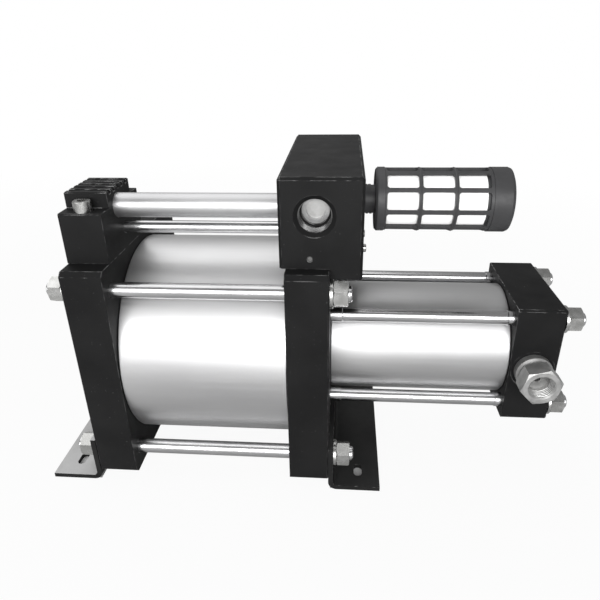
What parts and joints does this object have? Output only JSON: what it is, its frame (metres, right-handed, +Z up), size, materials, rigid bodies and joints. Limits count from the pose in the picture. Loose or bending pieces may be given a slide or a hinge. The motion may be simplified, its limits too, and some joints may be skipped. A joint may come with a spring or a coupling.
{
  "type": "air-driven pump",
  "caption": "Horizontal air-driven gas booster pump: large drive cylinder and small booster barrel between square tie-rod caps, valve block with silencer, on two feet.",
  "frame": {"origin": "on the plane under the feet, midway between the two slots of the left foot, below the barrel axis", "axes": "+Z up; +X along the barrels from the drive cylinder to the booster end; +Y away from the gas outlet side"},
  "size_m": [0.4353, 0.187, 0.2595],
  "materials": {
    "black_anodised": "satin black anodised, worn to bright metal on the edges",
    "barrel_aluminium": "satin, drawn and anodised clear",
    "plated_steel": "zinc plated",
    "rod_chrome": "ground and hard chromed",
    "foot_paint": "black powder coat",
    "cage_plastic": "moulded, dark grey",
    "element_plastic": "porous, white",
    "valve_steel": "turned stainless steel",
    "plug_steel": "turned",
    "spring_steel": "bright wire",
    "seal_rubber": "black",
    "wear_plastic": "bearing plastic",
    "piston_aluminium": "machined",
    "bush_brass": "bored bronze"
  },
  "bodies": {
    "pump_frame": {"drive_cap_left": "black_anodised", "drive_cap_middle": "black_anodised", "booster_end_cap": "black_anodised", "finned_manifold": "black_anodised", "valve_block": "black_anodised", "valve_end_plug": "black_anodised", "drive_barrel": "barrel_aluminium", "booster_barrel": "barrel_aluminium", "drive_rod_nuts": "plated_steel", "drive_rod_washers": "plated_steel", "booster_rod_nuts": "plated_steel", "booster_rod_washers": "plated_steel", "manifold_screws": "plated_steel", "valve_block_screws": "plated_steel", "drive_tie_rods": "rod_chrome", "booster_tie_rods": "rod_chrome", "air_transfer_tube": "rod_chrome", "pilot_tube": "rod_chrome", "foot_left": "foot_paint", "foot_right": "foot_paint", "silencer_cage": "cage_plastic", "silencer_end_cap": "cage_plastic", "silencer_element": "element_plastic", "outlet_valve_body": "valve_steel", "inlet_valve_body": "valve_steel", "outlet_valve_seat": "valve_steel", "inlet_spring_retainer": "valve_steel", "valve_sleeve": "valve_steel", "gallery_plug": "plug_steel", "pilot_plugs": "plug_steel", "outlet_spring": "spring_steel", "inlet_spring": "spring_steel", "pilot_spring_left": "spring_steel", "pilot_spring_right": "spring_steel", "drive_barrel_seals": "seal_rubber", "booster_barrel_seals": "seal_rubber", "manifold_seals": "seal_rubber", "tube_seals": "seal_rubber", "valve_block_seals": "seal_rubber", "sleeve_seals": "seal_rubber", "end_plug_seal": "seal_rubber", "valve_body_seals": "seal_rubber", "rod_seals": "wear_plastic", "rod_bush": "bush_brass"},
    "piston_set": {"piston_rod": "rod_chrome", "drive_piston": "piston_aluminium", "drive_piston_seal": "seal_rubber", "drive_piston_wear_rings": "wear_plastic", "piston_nuts": "valve_steel", "booster_piston": "piston_aluminium", "booster_piston_seals": "wear_plastic"},
    "spool_set": {"spool": "valve_steel", "spool_seals": "seal_rubber"},
    "pilot_pin_left": {"pilot_pin_left": "valve_steel"},
    "pilot_pin_right": {"pilot_pin_right": "valve_steel"},
    "outlet_poppet": {"outlet_poppet": "valve_steel"},
    "inlet_poppet": {"inlet_poppet": "valve_steel"}
  },
  "joints": [
    {"name": "piston_stroke", "type": "slide", "parent": "pump_frame", "child": "piston_set", "axis": [1, 0, 0], "range_m": [-0.0425, 0.0425]},
    {"name": "spool_shift", "type": "slide", "parent": "pump_frame", "child": "spool_set", "axis": [0, 1, 0], "range_m": [0, 0.012]},
    {"name": "pilot_pin_left_slide", "type": "slide", "parent": "pump_frame", "child": "pilot_pin_left", "axis": [-1, 0, 0], "range_m": [0, 0.003], "stiffness_N_per_m": 1500, "springref_m": -0.002, "deforming": ["pilot_spring_left"]},
    {"name": "pilot_pin_right_slide", "type": "slide", "parent": "pump_frame", "child": "pilot_pin_right", "axis": [1, 0, 0], "range_m": [0, 0.003], "stiffness_N_per_m": 1500, "springref_m": -0.002, "deforming": ["pilot_spring_right"]},
    {"name": "outlet_poppet_lift", "type": "slide", "parent": "pump_frame", "child": "outlet_poppet", "axis": [0, -1, 0], "range_m": [0, 0.003], "stiffness_N_per_m": 800, "springref_m": -0.002, "deforming": ["outlet_spring"]},
    {"name": "inlet_poppet_lift", "type": "slide", "parent": "pump_frame", "child": "inlet_poppet", "axis": [0, -1, 0], "range_m": [0, 0.003], "stiffness_N_per_m": 800, "springref_m": -0.002, "deforming": ["inlet_spring"]}
  ]
}
